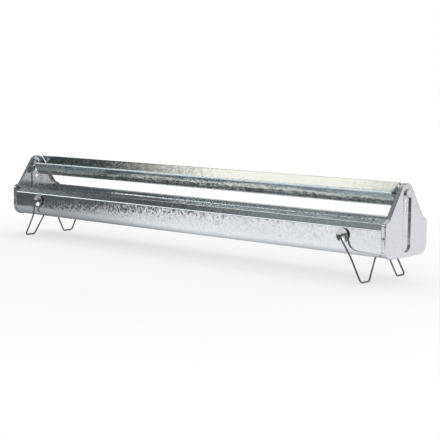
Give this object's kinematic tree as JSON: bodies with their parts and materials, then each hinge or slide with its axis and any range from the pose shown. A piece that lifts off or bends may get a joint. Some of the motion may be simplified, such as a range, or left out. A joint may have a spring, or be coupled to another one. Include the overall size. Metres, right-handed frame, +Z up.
{
  "type": "poultry trough feeder",
  "caption": "Long galvanised trough feeder with tall end plates, a spinning anti-roost reel on a sprung pin, and folding wire stands.",
  "frame": {"origin": "on the floor under the middle of the feeder, with both stands down", "axes": "+X along the trough towards the end with the fixed reel pin, +Z up, -Y the front"},
  "size_m": [0.9204, 0.1352, 0.1576],
  "materials": {
    "galvanised_sheet": "spangled hot-dip zinc",
    "galvanised_wire": "dull zinc",
    "plated_pin": "satin zinc plate",
    "spring_steel": "drawn wire"
  },
  "bodies": {
    "trough": {"trough_pan": "galvanised_sheet", "end_plate_left": "galvanised_sheet", "end_plate_right": "galvanised_sheet", "end_rivets_left": "plated_pin", "end_rivets_right": "plated_pin", "pivot_cup_front_left": "galvanised_sheet", "pivot_cup_rear_left": "galvanised_sheet", "pivot_cup_front_right": "galvanised_sheet", "pivot_cup_rear_right": "galvanised_sheet"},
    "reel": {"reel_tube": "galvanised_sheet", "reel_seam_strip": "galvanised_sheet", "reel_cap_left": "galvanised_sheet", "reel_cap_right": "galvanised_sheet", "reel_pin_right": "plated_pin", "pin_guide": "galvanised_sheet", "pin_spring": "spring_steel"},
    "sprung_pin": {"reel_pin_left": "plated_pin", "pin_finger_tab": "plated_pin"},
    "stand_left": {"wire_stand_left": "galvanised_wire", "pivot_cap_front_left": "plated_pin", "pivot_cap_rear_left": "plated_pin"},
    "stand_right": {"wire_stand_right": "galvanised_wire", "pivot_cap_front_right": "plated_pin", "pivot_cap_rear_right": "plated_pin"}
  },
  "joints": [
    {"name": "reel_spin", "type": "hinge", "parent": "trough", "child": "reel", "pos_m": [0, 0, 0.1389], "axis": [1, 0, 0], "continuous": true},
    {"name": "pin_retract", "type": "slide", "parent": "reel", "child": "sprung_pin", "axis": [1, 0, 0], "range_m": [0, 0.014], "stiffness_N_per_m": 250, "springref_m": -0.02, "deforming": ["pin_spring"]},
    {"name": "stand_left_fold", "type": "hinge", "parent": "trough", "child": "stand_left", "pos_m": [-0.376, 0, 0.0735], "axis": [0, -1, 0], "range_deg": [0, 90]},
    {"name": "stand_right_fold", "type": "hinge", "parent": "trough", "child": "stand_right", "pos_m": [0.376, 0, 0.0735], "axis": [0, 1, 0], "range_deg": [0, 90]}
  ]
}
